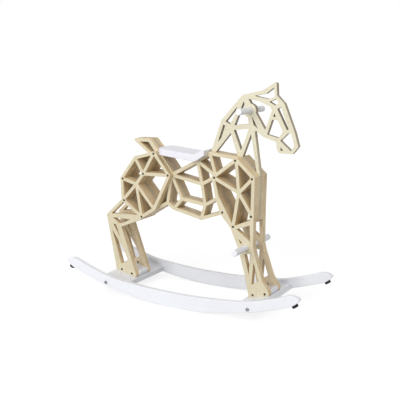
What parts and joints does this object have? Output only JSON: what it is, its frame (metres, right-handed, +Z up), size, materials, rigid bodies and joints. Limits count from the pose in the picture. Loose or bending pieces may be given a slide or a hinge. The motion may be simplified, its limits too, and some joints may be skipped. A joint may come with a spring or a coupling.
{
  "type": "rocking horse",
  "caption": "Children's rocking horse of laminated plywood lattice sheets on a pair of white bow rockers, with a seat board, a dowel handle and a dowel foot rest.",
  "frame": {"origin": "on the floor, under the middle of the two rockers", "axes": "+X the way the horse looks, +Y its left side, +Z up"},
  "size_m": [0.7864, 0.2676, 0.6508],
  "materials": {
    "plywood": "clear matt lacquer over pale plywood",
    "white_wood": "satin white paint on wood",
    "rubber": "matt black rubber",
    "dark_steel": "dark oxide steel",
    "zinc_steel": "zinc-plated steel",
    "beech": "bare beech pins"
  },
  "bodies": {
    "root": {"core_sheet": "plywood", "right_inner_sheet": "plywood", "left_inner_sheet": "plywood", "right_hind_sheet": "plywood", "left_hind_sheet": "plywood", "right_fore_sheet": "plywood", "left_fore_sheet": "plywood", "handle_rod": "white_wood", "foot_rest_rod": "white_wood", "seat": "white_wood", "right_rocker": "white_wood", "left_rocker": "white_wood", "fore_board": "white_wood", "hind_board": "white_wood", "fore_block": "white_wood", "hind_block": "white_wood", "bumpers": "rubber", "body_bolts": "dark_steel", "sleeve_nuts": "dark_steel", "hoof_screws": "dark_steel", "leg_bolts": "dark_steel", "leg_barrel_nuts": "zinc_steel", "rocker_bolts": "zinc_steel", "board_barrel_nuts": "zinc_steel", "bumper_screws": "dark_steel", "board_pins": "beech"}
  },
  "joints": []
}
